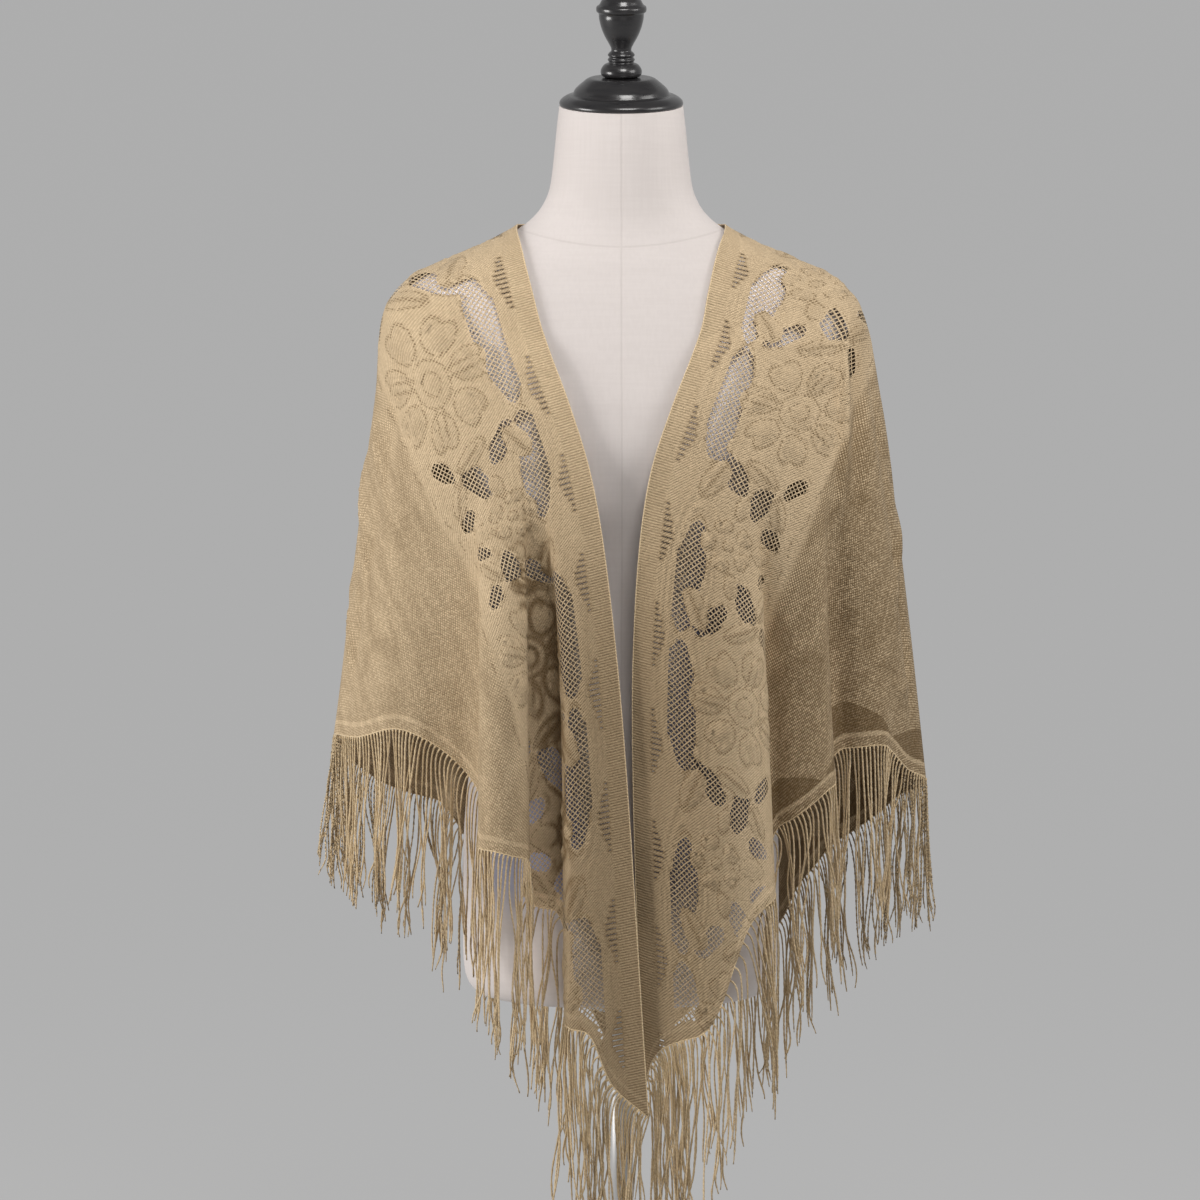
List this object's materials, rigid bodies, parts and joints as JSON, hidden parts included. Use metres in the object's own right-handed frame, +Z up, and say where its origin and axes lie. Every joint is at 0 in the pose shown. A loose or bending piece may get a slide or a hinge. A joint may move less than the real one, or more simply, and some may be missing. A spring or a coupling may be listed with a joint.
{
  "type": "lace shawl on a dress form",
  "caption": "Triangular knitted lace shawl with a twisted fringe, worn open over the shoulders of a limbless linen dress form on a plain stand.",
  "frame": {"origin": "centre of the stand's underside, on the floor", "axes": "+Z up along the pole, the shawl opens towards -Y, +X is the viewer's right from the front"},
  "size_m": [0.5268, 0.3103, 1.2286],
  "materials": {
    "lace": "fine knitted lace, soft sheen",
    "fringe": "twisted cord",
    "linen": "plain linen weave",
    "cap": "black satin lacquer",
    "stand": "pale grey satin paint"
  },
  "bodies": {
    "root": {"shawl_left_wing": "lace", "shawl_right_wing": "lace", "shawl_left_back": "lace", "shawl_right_back": "lace", "fringe_left_wing": "fringe", "fringe_right_wing": "fringe", "fringe_left_back": "fringe", "fringe_right_back": "fringe", "dress_form": "linen", "neck_cap": "cap", "cap_knob": "cap", "form_collar": "stand", "stand_pole": "stand", "stand_base": "stand"}
  },
  "joints": []
}
